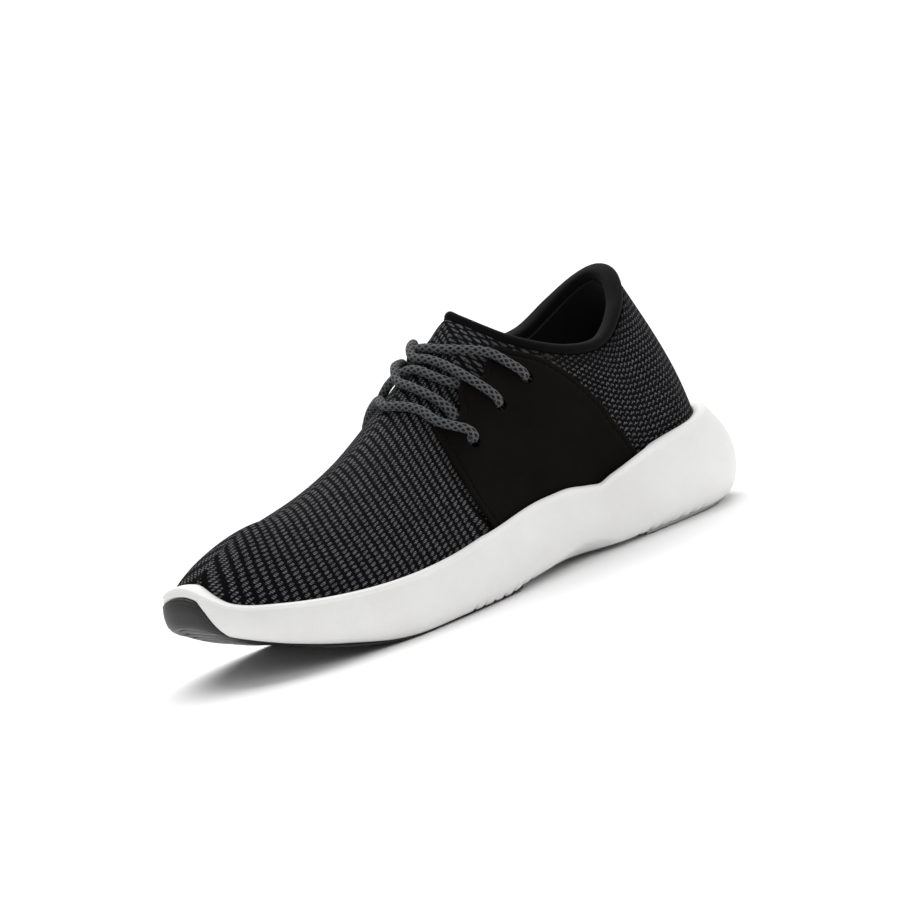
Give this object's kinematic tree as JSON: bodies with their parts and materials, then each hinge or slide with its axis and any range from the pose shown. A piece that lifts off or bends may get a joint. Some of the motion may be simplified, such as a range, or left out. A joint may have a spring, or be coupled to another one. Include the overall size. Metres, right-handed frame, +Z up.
{
  "type": "running shoe",
  "caption": "Low laced running shoe for the left foot: knitted bootee upper, side panels with eyelets, thick flared foam midsole, rubber tread.",
  "frame": {"origin": "centre of the bounding box in plan, at the height of the ground the shoe stands on", "axes": "+X towards the toe, +Y towards the outer side of the left foot, +Z up"},
  "size_m": [0.295, 0.1102, 0.1171],
  "materials": {
    "tread_rubber": "dark moulded rubber, satin",
    "heel_rubber": "white moulded rubber",
    "midsole_foam": "white moulded foam with a smooth skin",
    "knit": "black knit with grey yarn flecks",
    "lining": "black brushed mesh",
    "collar_tape": "charcoal ribbed tape",
    "panel_leather": "dark brown-black nubuck, matte",
    "lace_cord": "round braided cord, grey net over black",
    "stiffener": "black moulded sheet",
    "padding": "grey open foam",
    "board": "pale non-woven board",
    "insole_top": "black knit top cloth"
  },
  "bodies": {
    "shoe": {"outsole_forefoot": "tread_rubber", "outsole_heel": "heel_rubber", "midsole": "midsole_foam", "strobel_board": "board", "vamp_knit": "knit", "quarter_knit": "knit", "vamp_lining": "lining", "quarter_lining": "lining", "toe_puff": "stiffener", "heel_counter": "stiffener", "collar_foam": "padding", "tongue_foam": "padding", "collar_binding": "collar_tape", "lateral_panel": "panel_leather", "medial_panel": "panel_leather", "lateral_eyestay": "stiffener", "medial_eyestay": "stiffener", "lace": "lace_cord", "lace_tip_lateral": "stiffener", "lace_tip_medial": "stiffener"},
    "insole": {"insole_foam": "padding", "insole_cover": "insole_top"}
  },
  "joints": [
    {"name": "insole_lift", "type": "hinge", "parent": "shoe", "child": "insole", "pos_m": [0.1346, 0.001, 0.0345], "axis": [0, 1, 0], "range_deg": [0, 2]}
  ]
}
